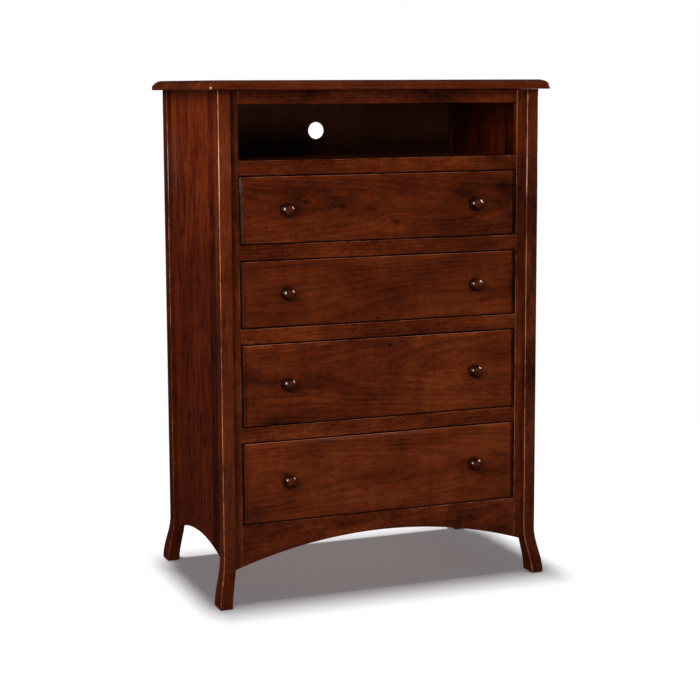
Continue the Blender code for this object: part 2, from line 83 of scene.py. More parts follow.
def quarter(steps):
    """(insets, rises) of a quarter circle: one minus the sine and one minus the cosine of its angle."""
    angle = np.linspace(0, math.pi / 2, steps + 1)
    return 1 - np.sin(angle), 1 - np.cos(angle)


def rounded(corners, radius, before=None, after=None):
    """A closed outline with its corners rounded, as one block of points for each corner.

    The spoke of the arc at share s of the turn is the first spoke times sin((1 - s) turn) plus the last
    spoke times sin(s turn), over sin(turn). A holding point follows the straight line beyond each end.
    before and after are the points that each corner's two sides run to, if not the next corners.
    """
    corners = np.asarray(corners, float)
    before = np.roll(corners, 1, axis=0) if before is None else np.asarray(before, float)
    after = np.roll(corners, -1, axis=0) if after is None else np.asarray(after, float)
    to_before = unit(before - corners)
    to_after = unit(after - corners)
    half = np.arccos((to_before * to_after).sum(-1, keepdims=True)) / 2
    middle = corners + unit(to_before + to_after) * radius / np.sin(half)
    first = corners + to_before * radius / np.tan(half)
    last = corners + to_after * radius / np.tan(half)
    turn = math.pi - 2 * half[:, None]
    share = np.linspace(0, 1, ARC_STEPS + 1)[None, :, None]
    spokes = np.sin((1 - share) * turn) * (first - middle)[:, None]
    spokes = (spokes + np.sin(share * turn) * (last - middle)[:, None]) / np.sin(turn)
    arcs = middle[:, None] + spokes
    lead_in = (first + to_before * HOLDING)[:, None]
    lead_out = (last + to_after * HOLDING)[:, None]
    return np.concatenate((lead_in, arcs, lead_out), axis=1)


def rectangle(low, high, radius):
    """A rectangle with rounded corners, from its lowest and its highest corner."""
    corners = [(low[0], low[1]), (high[0], low[1]), (high[0], high[1]), (low[0], high[1])]
    return rounded(corners, radius).reshape(-1, 2)


def arch_height(offset, arch):
    """Height of a circular arch at an offset from its middle: spring + rise - R + sqrt(R^2 - offset^2)."""
    half_span, spring, rise = arch
    radius = (half_span**2 + rise**2) / (2 * rise)
    return spring + rise - radius + np.sqrt(radius**2 - offset**2)


def arched(left, right, top, arch, radius):
    """An outline with an arched lower edge and straight sides and top, its corners rounded."""
    ends = np.array((left, right))
    beside = ends + np.array((1, -1)) * radius
    low = np.stack((ends, arch_height(ends, arch)), -1)
    guide = np.stack((beside, arch_height(beside, arch)), -1)
    corners = np.array((*low, (right, top), (left, top)))
    before = np.array((corners[3], guide[1], corners[1], corners[2]))
    after = np.array((guide[0], corners[2], corners[3], corners[0]))
    blocks = rounded(corners, radius, before, after)
    offsets = np.linspace(blocks[0, -1, 0], blocks[1, 0, 0], ARCH_SAMPLES + 2)[1:-1]
    curve = np.stack((offsets, arch_height(offsets, arch)), -1)
    return np.concatenate((blocks[0], curve, blocks[1:].reshape(-1, 2)))


def drawn_in(outline, insets, shares=(1.0, 1.0)):
    """The outline moved inwards once for each inset.

    A point moves along the sum of the inward normals of its two sides, over one plus their dot product.
    shares makes the movement smaller along an axis.
    """
    side = unit(np.roll(outline, -1, axis=0) - outline)
    inward = np.stack((-side[:, 1], side[:, 0]), -1)
    previous = np.roll(inward, 1, axis=0)
    mitre = (inward + previous) / (1 + (inward * previous).sum(-1, keepdims=True))
    return outline + np.asarray(insets)[:, None, None] * mitre * np.asarray(shares)


def eased_span(low, high, arris):
    """(insets, places) across a thickness: a quarter circle at each end, with holding lines beside it."""
    insets, rises = quarter(ARC_STEPS)
    inset = np.concatenate(((arris + HOLDING,), arris * insets, (0.0,)))
    rise = np.concatenate(((0.0,), arris * rises, (arris + HOLDING,)))
    return np.concatenate((inset, inset[::-1])), np.concatenate((low + rise, (high - rise)[::-1]))


def in_space(rings, places, axes):
    """Puts flat rings into space: axes names their first axis, their second and the one across them."""
    points = np.empty((*rings.shape[:2], 3))
    points[..., axes[0]] = rings[..., 0]
    points[..., axes[1]] = rings[..., 1]
    points[..., axes[2]] = np.asarray(places)[:, None]
    return points


def skin(rings, capped):
    """Four-sided faces between neighbouring rings, with a face over the first and the last ring.

    Without these caps the last ring joins the first. Six times the enclosed volume is the sum of the
    triple products of the faces' corners. Where it is below nought, every face is turned round.
    """
    rows, count = rings.shape[:2]
    row, column = np.meshgrid(np.arange(rows - 1 if capped else rows), np.arange(count), indexing="ij")
    beside = (column + 1) % count
    above = (row + 1) % rows
    corners = (row * count + column, row * count + beside, above * count + beside, above * count + column)
    quads = np.stack(corners, -1).reshape(-1, 4)
    points = rings.reshape(-1, 3)
    faces = quads.tolist()
    a, b, c, d = (points[quads[:, i]] for i in range(4))
    volume = (np.cross(a, b) * c).sum() + (np.cross(a, c) * d).sum()
    if capped:
        for cap in (np.arange(count)[::-1], np.arange(count) + (rows - 1) * count):
            fan = points[cap]
            volume += (np.cross(fan[:1], fan[1:-1]) * fan[2:]).sum()
            faces.append(cap.tolist())
    if volume < 0:
        faces = [face[::-1] for face in faces]
    return points, faces


def add_piece(name, node, mesh, finish, body):
    """A piece in its finish that rides on a body and stands for a node."""
    mesh.materials.clear()
    mesh.materials.append(finish)
    piece = bpy.data.objects.new(name, mesh)
    bpy.context.scene.collection.objects.link(piece)
    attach(piece, body)
    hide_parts(node)


def add_skin(name, rings, finish, body="case", capped=True):
    """A smooth skin over rings that stands for the node of its name."""
    points, faces = skin(rings, capped)
    mesh = bpy.data.meshes.new(name)
    mesh.from_pydata(points, [], faces)
    mesh.shade_smooth()
    add_piece(name, name, mesh, finish, body)


# Boards

FRONT_ARCH = (0.413, 0.0915, 0.0683)  # half span, spring, rise
SIDE_ARCH = (0.21675, 0.100, 0.0365)
ARCH_CORNER = BOARD_ARRIS + 1.5 * HOLDING
SHARP_ENDS = (0.2, 1.0)  # a board's ends stay sharp where they meet another board


def make_board(name, finish, arris=BOARD_ARRIS):
    """A straight level board: a rectangle with rounded corners, carried from its left to its right."""
    low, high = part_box(name)
    outline = rectangle(low[Y:], high[Y:], arris)
    insets, places = eased_span(low[X], high[X], END_ARRIS)
    add_skin(name, in_space(drawn_in(outline, insets), places, (Y, Z, X)), finish)


def make_arched(name, arch, axes, finish, shares=(1.0, 1.0)):
    """A board cut to an arch along its lower edge, its faces drawn in by a quarter circle at the rim.

    axes are the one along the arch, the upright one and the one through the board. shares says how much
    of the rounding the ends and the long edges get.
    """
    low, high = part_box(name)
    u, v, across = axes
    outline = arched(low[u], high[u], high[v], arch, ARCH_CORNER)
    insets, places = eased_span(low[across], high[across], BOARD_ARRIS)
    add_skin(name, in_space(drawn_in(outline, insets, shares), places, axes), finish)


# Posts and their flared feet

POST_ARRIS = 0.0030
FOOT_ARRIS = 0.0044
SOLE_STEPS = 8
FLARE_START = 0.125
FLARE_SIDE = (0.0165, 0.0175)  # how far the inner and the outer face move at the floor
FLARE_DEPTH = (0.005, 0.020)
FLARE_RINGS = 48
SHAFT_HEIGHTS = (FLARE_START + 0.002, 0.4, 0.7, 1.0)


def make_post(name, side, end, finish):
    """A corner post that sweeps out into its foot.

    Its section is a rectangle with rounded corners. At the floor it draws in by a quarter circle. Below
    FLARE_START a point moves outwards by the squared sine of 90 degrees times the way down, times the
    flare, which grows evenly from the inner face to the outer one.
    """
    low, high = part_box(name)
    inner_x, inner_y = (min(abs(low[axis]), abs(high[axis])) for axis in (X, Y))
    width = max(abs(low[X]), abs(high[X])) - FLARE_SIDE[1] - inner_x
    depth = max(abs(low[Y]), abs(high[Y])) - FLARE_DEPTH[1] - inner_y
    size = np.array((width, depth))
    section = rectangle((0, 0), size, POST_ARRIS)
    insets, rises = quarter(SOLE_STEPS)
    widest_inset = FOOT_ARRIS + 2 * HOLDING
    flare = np.linspace(widest_inset, FLARE_START, FLARE_RINGS)
    upper_end = (high[Z] - END_ARRIS, high[Z])
    heights = np.concatenate(((0.0,), FOOT_ARRIS * rises, flare, SHAFT_HEIGHTS, upper_end))
    inset = np.zeros_like(heights)
    inset[0] = widest_inset
    inset[1:SOLE_STEPS + 2] = FOOT_ARRIS * insets
    inset[-1] = END_ARRIS
    rings = size / 2 + (section - size / 2) * (1 - 2 * inset[:, None, None] / size)
    way = np.clip(1 - heights / FLARE_START, 0, 1)[:, None]
    sweep = np.sin(way * math.pi / 2) ** 2
    share = rings / size
    points = in_space(rings, heights, (X, Y, Z))
    plan = ((X, side, inner_x, FLARE_SIDE), (Y, end, inner_y, FLARE_DEPTH))
    for axis, sign, inner, (near, far) in plan:
        reach = sweep * (near + (far - near) * share[..., axis])
        points[..., axis] = sign * (inner + rings[..., axis] + reach)
    add_skin(name, points, finish)


# Top board

TOP_CORNER = 0.014
TOP_CORNER_STEPS = 14
TOP_EDGE_WIDTH = 0.026
TOP_EDGE_DROP = 0.0155
TOP_EDGE_BULGE = 0.0035
TOP_BOTTOM_ROUND = 0.0025
TOP_FLAT_RIM = 0.006
NOSING_ROUND = 0.0030
NOSING_STEPS = 6
SLOPE_STEPS = 23


def moulded_edge(thickness):
    """(insets, heights) up the top's edge, from its underside to its flat top.

    A quarter circle, a short upright and then a slope: its point at share s lies on a straight chord,
    moved out along the chord's normal by four times the bulge times s (1 - s). Where the upright meets
    the slope, a curve of the second degree rounds the corner.
    """
    insets, rises = quarter(ARC_STEPS)
    under = np.stack((TOP_BOTTOM_ROUND * insets, TOP_BOTTOM_ROUND * rises), -1)
    chord = np.array((TOP_EDGE_WIDTH, TOP_EDGE_DROP))
    normal = np.array((-TOP_EDGE_DROP, TOP_EDGE_WIDTH)) / np.linalg.norm(chord)
    start = np.array((0.0, thickness - TOP_EDGE_DROP))

    def slope(share):
        """The slope's points at some shares of its chord."""
        share = np.asarray(share, float)[:, None]
        return start + chord * share + normal * TOP_EDGE_BULGE * 4 * share * (1 - share)

    reach = NOSING_ROUND / np.linalg.norm(chord)
    below = start - (0, NOSING_ROUND)
    beyond = slope((reach,))[0]
    share = np.linspace(0, 1, NOSING_STEPS + 1)[:, None]
    nosing = (1 - share) ** 2 * below + 2 * share * (1 - share) * start + share**2 * beyond
    rest = slope(np.linspace(reach, 1, SLOPE_STEPS + 1)[1:])
    inner = np.array((TOP_BOTTOM_ROUND + HOLDING, 0.0))
    flat = rest[-1] + ((HOLDING, 0.0), (TOP_FLAT_RIM, 0.0))
    return np.concatenate((inner[None], under, nosing, rest, flat)).T


def make_top(finish):
    """The top board: its edge's profile is carried round the left, the front and the right.

    At each inset the plan is a rectangle, square at the back, whose front corners are arcs. Their radius
    shrinks by the inset, down to an eighth.
    """
    low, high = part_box("top_board")
    insets, heights = moulded_edge(high[Z] - low[Z])
    inset = insets[:, None]
    radius = np.maximum(TOP_CORNER - inset, TOP_CORNER / 8)
    half = high[X] - inset
    front = low[Y] + inset + radius
    angle = np.linspace(math.pi, 1.5 * math.pi, TOP_CORNER_STEPS + 1)
    left = np.stack((radius - half + radius * np.cos(angle), front + radius * np.sin(angle)), -1)
    right = left[:, ::-1] * (-1, 1)
    corner = np.stack((half, np.full_like(half, high[Y])), -1)
    back_right = corner + ((0.0, -2 * HOLDING), (0.0, 0.0), (-2 * HOLDING, 0.0))
    back_left = back_right[:, ::-1] * (-1, 1)
    rings = np.concatenate((left, right, back_right, back_left), axis=1)
    add_skin("top_board", in_space(rings, low[Z] + heights, (X, Y, Z)), finish)


# Back panel and its cable hole

HOLE_DIAMETER = 0.048
HOLE_HEIGHT = 0.060  # above the compartment's floor
HOLE_ARRIS_STEPS = 3
RIM_SAMPLES = 240


def make_back_panel(finish):
    """The back panel: one closed skin that runs over its front, through the cable hole and back outside.

    Its sections run from the hole to the rim: the share along the rim and the angle round the hole agree
    at each of them. Each arris is a quarter circle, drawn in from the rim and spread from the hole.
    """
    low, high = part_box("back_panel")
    middle = np.array((0.0, compartment_floor + HOLE_HEIGHT))
    corners = rectangle((low[X], low[Z]), (high[X], high[Z]), END_ARRIS)
    corners = np.append(corners, corners[:1], axis=0)
    run = np.append(0, np.cumsum(np.linalg.norm(np.diff(corners, axis=0), axis=1)))
    share = np.union1d(run, np.linspace(0, run[-1], RIM_SAMPLES))[:-1]
    rim = np.stack([np.interp(share, run, corners[:, i]) for i in (0, 1)], -1)
    spoke = unit(rim - middle)
    insets, rises = quarter(HOLE_ARRIS_STEPS)
    inset = np.concatenate(((4 * HOLDING,), END_ARRIS * insets, (0.0,)))
    depth = np.concatenate(((0.0,), END_ARRIS * rises, (3 * END_ARRIS,)))
    inset = np.concatenate((inset, inset[::-1]))[:, None, None]
    places = np.concatenate((low[Y] + depth, (high[Y] - depth)[::-1]))
    rings = np.concatenate((rim - spoke * inset, middle + spoke * (HOLE_DIAMETER / 2 + inset)))
    points = in_space(rings, np.concatenate((places, places[::-1])), (X, Z, Y))
    add_skin("back_panel", points, finish, capped=False)


# Knobs

KNOB_PROJECTION = 0.027
KNOB_CAP = 0.0145  # from the top of the crown down to the neck
KNOB_CROWN = 0.0120  # from the top of the crown down to its widest ring
KNOB_NECK = 0.0165
KNOB_BASE = 0.0225
KNOB_BASE_THICKNESS = 0.0025
KNOB_EASE = 0.0005
KNOB_GAP = 0.0003  # between the base and the drawer's front
KNOB_TENON = 0.010
TENON_EASE = 0.0002
TENON_POLE = 0.001  # radius of the face that closes the tenon
CROWN_START = 0.03  # the angle at which a face closes the crown
CROWN_STEPS = 21
KNOB_STEPS = 10
KNOB_TURNS = 64


def knob_profile(radius, tip):
    """(radii, heights) of a turned knob, from its crown to its tenon, which reaches tip deep into the front.

    The crown is a quarter ellipse, and so is the underside, down to the neck. From there a quarter
    ellipse, hollow this time, spreads to the base.
    """
    neck, base, tenon = KNOB_NECK / 2, KNOB_BASE / 2, KNOB_TENON / 2
    widest = KNOB_PROJECTION - KNOB_CROWN
    cap_back = KNOB_PROJECTION - KNOB_CAP
    spread = base - KNOB_EASE
    angle = np.linspace(CROWN_START, math.pi / 2, CROWN_STEPS + 1)
    crown = np.stack((radius * np.sin(angle), widest + KNOB_CROWN * np.cos(angle)), -1)
    angle = np.linspace(0, math.pi / 2, KNOB_STEPS + 1)[1:]
    sine, cosine = np.sin(angle), np.cos(angle)
    under = np.stack((neck + (radius - neck) * cosine, widest - (widest - cap_back) * sine), -1)
    fall = (cap_back - KNOB_BASE_THICKNESS) * sine
    cove = np.stack((spread - (spread - neck) * cosine, cap_back - fall), -1)
    foot = [(base - KNOB_EASE / 3, KNOB_BASE_THICKNESS - KNOB_EASE / 3),
            (base, KNOB_BASE_THICKNESS - KNOB_EASE), (base, 2 * KNOB_GAP), (base, KNOB_GAP),
            (base - KNOB_GAP, KNOB_GAP), (tenon + KNOB_GAP, KNOB_GAP), (tenon, KNOB_GAP), (tenon, 0.0)]
    end = [(tenon, KNOB_EASE - tip), (tenon, TENON_EASE - tip), (tenon - TENON_EASE, -tip),
           (TENON_POLE, -tip)]
    return np.concatenate((crown, under, cove, foot, end)).T


def make_knob(name, body, finish):
    """A turned knob: its profile carried round a circle."""
    low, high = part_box(name)
    centre = (low + high) / 2
    radii, heights = knob_profile((high[X] - low[X]) / 2, high[Y] - low[Y] - KNOB_PROJECTION)
    turn = np.linspace(0, 2 * math.pi, KNOB_TURNS, endpoint=False)
    circle = np.stack((np.cos(turn), np.sin(turn)), -1)
    rings = np.array((centre[X], centre[Z])) + radii[:, None, None] * circle
    drawer_face = low[Y] + KNOB_PROJECTION
    add_skin(name, in_space(rings, drawer_face - heights, (X, Z, Y)), finish, body)


# Drawer fronts

FRONT_ARRIS = 0.0008
FRONT_REACH = 0.0045  # how far behind the face an arris may lie
ON_FACE = 0.0001
SOCKET_EDGE = 0.01  # edges on the face that are shorter run round a knob's socket
ARRIS_ANGLE = math.radians(10)
MERGE_DISTANCE = 1e-5
FLAT_ANGLE = math.radians(0.5)


def is_front_arris(edge, low, high):
    """True for an edge at the front that lies on the rim, or whose two faces meet at an angle.

    The short edges round a knob's socket don't count.
    """
    ends = [vert.co for vert in edge.verts]
    furthest = max(point.y for point in ends)
    in_socket = furthest < low[Y] + ON_FACE and edge.calc_length() < SOCKET_EDGE
    if furthest >= low[Y] + FRONT_REACH or in_socket:
        return False
    rim = [(axis, limit) for axis in (X, Z) for limit in (low[axis], high[axis])]
    on_rim = any(all(abs(point[axis] - limit) < ON_FACE for point in ends) for axis, limit in rim)
    return on_rim or edge.calc_face_angle(0.0) > ARRIS_ANGLE


def make_drawer_front(name, body, finish):
    """A drawer front as the solid has it, sockets and all, with its front arrises rounded."""
    low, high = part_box(name)
    mesh = bpy.data.objects[name].data.copy()
    mesh.name = name + "_dressed"
    bm = bmesh.new()
    bm.from_mesh(mesh)
    bmesh.ops.remove_doubles(bm, verts=bm.verts, dist=MERGE_DISTANCE)
    bmesh.ops.dissolve_limit(bm, angle_limit=FLAT_ANGLE, verts=bm.verts, edges=bm.edges)
    arrises = [edge for edge in bm.edges if is_front_arris(edge, low, high)]
    result = bmesh.ops.bevel(bm, geom=arrises, offset=FRONT_ARRIS, segments=3, profile=0.5, affect="EDGES")
    for face in result["faces"]:
        face.smooth = True
    bm.to_mesh(mesh)
    bm.free()
    add_piece(name + "_dressed", name, mesh, finish, body)


# Finishes

class Value:
    """A number that varies over a surface. Working with it adds Math nodes to its finish."""

    def __init__(self, finish, socket):
        self.finish = finish
        self.socket = socket

    def __add__(self, other):
        return self.finish.maths("ADD", self, other)

    def __sub__(self, other):
        return self.finish.maths("SUBTRACT", self, other)

    def __mul__(self, other):
        return self.finish.maths("MULTIPLY", self, other)

    def __truediv__(self, other):
        return self.finish.maths("DIVIDE", self, other)

    def __pow__(self, other):
        return self.finish.maths("POWER", self, other)

    def __rsub__(self, other):
        return self.finish.maths("SUBTRACT", other, self)

    __radd__ = __add__
    __rmul__ = __mul__


class Finish:
    """The nodes of a material, or of the world."""

    def __init__(self, owner):
        owner.use_nodes = True
        self.owner = owner
        self.nodes = owner.node_tree.nodes
        self.links = owner.node_tree.links

    def add(self, kind, settings=None, inputs=None, output=0):
        """Adds a node: its settings first, then the values or links of its inputs. Gives one output."""
        node = self.nodes.new(kind)
        for key, setting in (settings or {}).items():
            if key == "stops":
                self.set_stops(node.color_ramp, setting)
            else:
                setattr(node, key, setting)
        for key, value in (inputs or {}).items():
            self.feed(node, key, value)
        return Value(self, node.outputs[output])

    def feed(self, node, key, value):
        """Links a value to a node's input, or sets the input to a plain number or colour."""
        if isinstance(value, Value):
            self.links.new(value.socket, node.inputs[key])
        else:
            node.inputs[key].default_value = value

    def set_stops(self, ramp, stops):
        """Gives a ramp its stops. A new ramp has two already."""
        for place, color in stops[2:]:
            ramp.elements.new(place)
        for element, (place, color) in zip(ramp.elements, stops):
            element.position = place
            element.color = (*color, 1.0)

    def maths(self, operation, *terms):
        """A Math node on numbers."""
        return self.add("ShaderNodeMath", {"operation": operation}, dict(enumerate(terms)))

    def vector(self, operation, *terms):
        """A Vector Math node that gives a vector."""
        return self.add("ShaderNodeVectorMath", {"operation": operation}, dict(enumerate(terms)))

    def split(self, vector, axes):
        """A vector's numbers along some axes."""
        return [self.add("ShaderNodeSeparateXYZ", {}, {0: vector}, axis) for axis in axes]

    def step(self, value, low, high):
        """0 up to low, 1 from high on and an S curve between them. low may be the greater of the two."""
        return self.add("ShaderNodeMapRange", {"interpolation_type": "SMOOTHSTEP"},
                        {"Value": value, "From Min": low, "From Max": high})


# Wood

# Noises: cycles a metre along the grain and beside it, detail and roughness
WANDER = (1.6, 7.0, 2.0, 0.5)
WOBBLE = (9.0, 40.0, 2.0, 0.5)
FINE = (12.0, 230.0, 3.0, 0.6)
FINER = (40.0, 800.0, 2.0, 0.6)
FLECKS = (20.0, 210.0, 2.0, 0.5)
PORES = (60.0, 1900.0, 1.0, 0.5)
SOFT = (5.0, 15.0, 4.0, 0.62)
BANDS = (34.0, 9.0, 2.0, 0.55)
MOTTLE = (85.0, 110.0, 4.0, 0.72)

SEED_STEP = (3.17, 1.73, 2.39)  # how far a seed moves the figure
BOARD_STEP = (0.37, 0.11, 0.73)  # how far the figure jumps at a joint
JOINT = 0.0004
WANDER_REACH = (0.0, 0.04, 0.04)
WOBBLE_REACH = 0.6  # in rings
LATE_END = (0.75, 1.0)  # the share of a ring at which its late wood ends
LATE_MEAN = 0.2
FLECK_STEP = (0.54, 0.70)
PORE_STEP = (0.62, 0.76)

# How much tone each adds or takes away
FINE_TONE = 0.22
FINER_TONE = 0.24
SOFT_TONE = 0.95
MOTTLE_TONE = 0.62
FLECK_TONE = 0.10
PORE_TONE = 0.06
KNOT_TONE = 0.42
PATCH_TONE = 0.75
# a painted shadow round each knob
KNOB_SHADOW_TONE = 0.4
END_TONE = 0.2
# painted shade on the right end, the side turned from the lamps
RIGHT_END_SHADE_TONE = 0.25
# painted shade on a knob's rim and underside
RIM_SHADE_TONE = 0.42
UNDERSIDE_SHADE_TONE = 0.22
# a dark line of painted shade along a gap
GAP_LINE_SHADE_TONE = 0.6
# painted shade on a face inside the case
SHADED_TONE = 0.3
# a line of painted shade under the top board's edge
UNDER_EDGE_SHADE_TONE = 0.4
WEAR_AND_HIGHLIGHT_LIMIT = 0.8  # the lightest tone beneath the arrises' rubbing and painted highlight

# The form of the marks, in metres where a comment says nothing else
KNOT_BEND = 3.0  # by how many rings a knot pushes the grain aside
KNOT_PUSH = 0.25  # share of the squared distance along the grain, for the rings that a knot bends
KNOT_SHAPE = 0.4  # and for its dark heart
PATCH_RAGGED = 2.1  # how far the soft patches shift a patch's rim
PAINTED_LIGHT_RAGGED = 0.6  # and the edge of the painted light or shade on a board's upper part
KNOB_SHADOW_RING = (0.015, 0.022)  # round a knob the painted shadow is whole up to the first radius, gone at the second
END_LINE = 0.0025
# the width over which the painted shade at the right end fades in
RIGHT_END_SHADE_LINE = 0.0040
GAP_LINE_ENDS = (0.0032, 0.0020)  # a dark line of painted shade along a gap: from a face's end inwards
GAP_LINE_LOW = (0.0014, 0.0028)  # from its lower edge upwards
# the height over which the line of painted shade under the top fades out
UNDER_EDGE_SHADE_LINE = 0.0022

# How squarely a surface faces an axis: where each effect starts and where it is whole
RIM_FACING = (0.96, 0.66)
GAP_FACING = (0.35, 0.1)
ARRIS_FACING = (0.95, 0.78)
FLAT_FACING = (0.9, 0.99)
UNDERSIDE_TURN = (0.15, -0.45)
INSIDE_TURN = (0.5, 0.9)
LIT_SIDE_TURN = (0.1, 0.5)
LEAST_WEAR_AND_HIGHLIGHT = 0.25  # share of the rubbing and painted highlight on the sides away from the lamps

# Relief, in parts of its height in metres, and roughness
RELIEF = 0.0005
FINE_RELIEF = 0.4
SOFT_RELIEF = 1.2
PORE_RELIEF = 0.7
FLECK_RELIEF = 0.3
SOFT_ROUGHNESS = 0.1
PORE_ROUGHNESS = 0.08
LATE_ROUGHNESS = 0.03


class Wood(Finish):
    """A board's wood, whose tone is worked out step by step.

    axes are the axis along the grain, the one across the board and the one through it. lift makes the
    whole board lighter.
    """

    def __init__(self, name, axes, seed, lift):
        super().__init__(bpy.data.materials.new(name))
        self.shader = self.nodes["Principled BSDF"]
        self.parts = self.split(self.add("ShaderNodeTexCoord", output="Object"), axes)
        self.along, self.across, self.deep = self.parts
        line = self.add("ShaderNodeCombineXYZ", {}, dict(enumerate(self.parts)))
        self.line = self.vector("ADD", line, [seed * step for step in SEED_STEP])
        self.normal = self.add("ShaderNodeTexCoord", output="Normal")
        self.tone = 0.5 + lift

    def turned(self, axis):
        """The surface's normal along an axis."""
        return self.split(self.normal, (axis,))[0]

    def facing(self, axis):
        """How squarely the surface faces along an axis, either way."""
        return self.maths("ABSOLUTE", self.turned(axis))

    def grain(self, place, kind, width=1.0, output="Fac"):
        """One of the noises. width makes it wider beside the grain."""
        along, beside, detail, roughness = kind
        stretched = self.vector("MULTIPLY", place, (along, beside / width, beside / width))
        inputs = {"Vector": stretched, "Scale": 1.0, "Detail": detail, "Roughness": roughness}
        return self.add("ShaderNodeTexNoise", {}, inputs, output)

    def away(self, along, across, share=1.0):
        """Distance from a place: the root of a share of its square along the grain plus its square across."""
        return ((self.along - along) ** 2.0 * share + (self.across - across) ** 2.0) ** 0.5

    def darken(self, mask, amount):
        """Takes tone away as far as a mask goes."""
        self.tone = self.tone - mask * amount

    def join(self, boards):
        """Glues a panel of boards: beyond each joint the figure jumps and the tone changes."""
        for edge, change in boards:
            beyond = self.step(self.across, edge - JOINT, edge + JOINT)
            self.line = self.vector("ADD", self.line, self.vector("MULTIPLY", BOARD_STEP, beyond))
            self.tone = self.tone + beyond * change

    def grow(self, pith, tilt, rings, knots, width):
        """Growth rings: circles round a pith that runs along the grain at a slant and wanders.

        A ring's number is the distance from the pith over the width of a ring. Its late wood is the
        squared share through the ring, and it ends in an S curve. A knot adds to the distance by the
        exponential of minus the distance from it over its size. Fine lines, flecks and pores run along.
        """
        wander = self.grain(self.line, WANDER, output="Color")
        wander = self.vector("MULTIPLY", self.vector("SUBTRACT", wander, (0.5, 0.5, 0.5)), WANDER_REACH)
        drift_across, drift_deep = self.split(wander, (1, 2))
        side = self.across + drift_across - pith[0]
        into = self.deep + drift_deep - pith[1] + self.along * tilt
        distance = (side * side + into * into) ** 0.5
        for along, across, size in knots:
            near = self.maths("EXPONENT", self.away(along, across, KNOT_PUSH) * (-1 / size))
            distance = distance + near * rings * KNOT_BEND
        ring = self.maths("FRACT", distance / rings + self.grain(self.line, WOBBLE) * WOBBLE_REACH)
        self.late = ring ** 2.0 * (1 - self.step(ring, *LATE_END))
        flow = self.vector("ADD", self.line, wander)
        self.fine = self.grain(flow, FINE, width)
        self.finer = self.grain(flow, FINER, width)
        self.flecks = self.step(self.grain(self.line, FLECKS, width), *FLECK_STEP)
        self.pores = self.step(self.grain(self.line, PORES), *PORE_STEP)

    def colour(self, figure, streaks, cloud, curl):
        """The tone of the grain.

        figure, streaks, cloud and curl are the strengths of the rings, the fine lines, the soft patches
        and the bands across the grain.
        """
        self.soft = self.grain(self.line, SOFT)
        bands = self.grain(self.line, BANDS)
        mottle = self.grain(self.line, MOTTLE)
        tone = self.tone - (self.late - LATE_MEAN) * figure + (self.fine - 0.5) * (FINE_TONE * streaks)
        tone = tone + (self.finer - 0.5) * FINER_TONE + (self.soft - 0.5) * (SOFT_TONE * cloud)
        tone = tone + (bands - 0.5) * curl + (mottle - 0.5) * (MOTTLE_TONE * cloud)
        self.tone = tone - self.flecks * (FLECK_TONE * streaks) - self.pores * PORE_TONE

    def mark(self, knots, patches, knob_shadows_at):
        """Darkens knots and ragged patches, and paints a shadow round each knob.

        Each knot is (along, across, size). Each patch is (along, across, length, height, darkening): it
        fades by the exponential of minus the sum of the squared distances over its length and height.
        """
        for along, across, size in knots:
            self.darken(1 - self.step(self.away(along, across, KNOT_SHAPE), 0.0, size), KNOT_TONE)
        for along, across, length, height, darkening in patches:
            apart = ((self.along - along) * (1 / length)) ** 2.0
            apart = apart + ((self.across - across) * (1 / height)) ** 2.0
            apart = self.maths("MAXIMUM", apart + (self.soft - 0.5) * PATCH_RAGGED, 0.0)
            self.darken(self.maths("EXPONENT", apart * -1.0), darkening * PATCH_TONE)
        for along, across in knob_shadows_at:
            self.darken(1 - self.step(self.away(along, across), *KNOB_SHADOW_RING), KNOB_SHADOW_TONE)

    def darken_edges(self, dark_ends, underside_shade_line, gap_shade_line):
        """Darkens the end grain, where the stain has gathered, and paints shade along some edges.

        Beyond dark_ends from the middle the end grain has drunk more stain, and the right end gets
        painted shade on top, as the side turned away from the lamps. Below underside_shade_line, a height
        through the board, painted shade fades in along the underside. glazed is the height of a lower edge
        and the half length of the face, along which and at whose ends a dark line of painted shade stands for
        the shade in the gap.
        """
        if dark_ends:
            from_middle = self.maths("ABSOLUTE", self.along)
            self.darken(self.step(from_middle, dark_ends - END_LINE, dark_ends), END_TONE)
            self.darken(self.step(self.along, dark_ends - RIGHT_END_SHADE_LINE, dark_ends), RIGHT_END_SHADE_TONE)
        if gap_shade_line:
            lowest, half_length = gap_shade_line
            from_middle = self.maths("ABSOLUTE", self.along)
            ends = self.step(from_middle, *(half_length - inset for inset in GAP_LINE_ENDS))
            clear = self.step(self.across, *(lowest + height for height in GAP_LINE_LOW)) * (1 - ends)
            self.darken(1 - clear, GAP_LINE_SHADE_TONE)
        if underside_shade_line:
            self.darken(self.step(self.deep, underside_shade_line + UNDER_EDGE_SHADE_LINE, underside_shade_line), UNDER_EDGE_SHADE_TONE)

    def darken_faces(self, gap_shade, knob_shade, shaded_face, inside_shade):
        """Paints shade on faces by the way they look.

        gap_shade paints shade on those that don't look to the front or the back, as in the gaps between
        parts. knob_shade paints shade on a knob's rim and under it. shaded_face is the sign of X of a face
        that gets painted shade. inside_shade is (axis, sign, run, start, end, darkening): the face that
        looks along the signed axis gets painted shade from start to end, along the grain or across it
        as run says.
        """
        if knob_shade:
            self.darken(self.step(self.facing(Y), *RIM_FACING), RIM_SHADE_TONE)
            self.darken(self.step(self.turned(Z), *UNDERSIDE_TURN), UNDERSIDE_SHADE_TONE)
        if gap_shade:
            self.darken(self.step(self.facing(Y), *GAP_FACING), gap_shade)
        if shaded_face:
            self.darken(self.step(self.turned(X) * shaded_face, *INSIDE_TURN), SHADED_TONE)
        if inside_shade:
            axis, sign, run, start, end, darkening = inside_shade
            inside = self.step(self.turned(axis) * sign, *INSIDE_TURN)
            self.darken(self.step(self.parts[run], start, end) * inside, darkening)

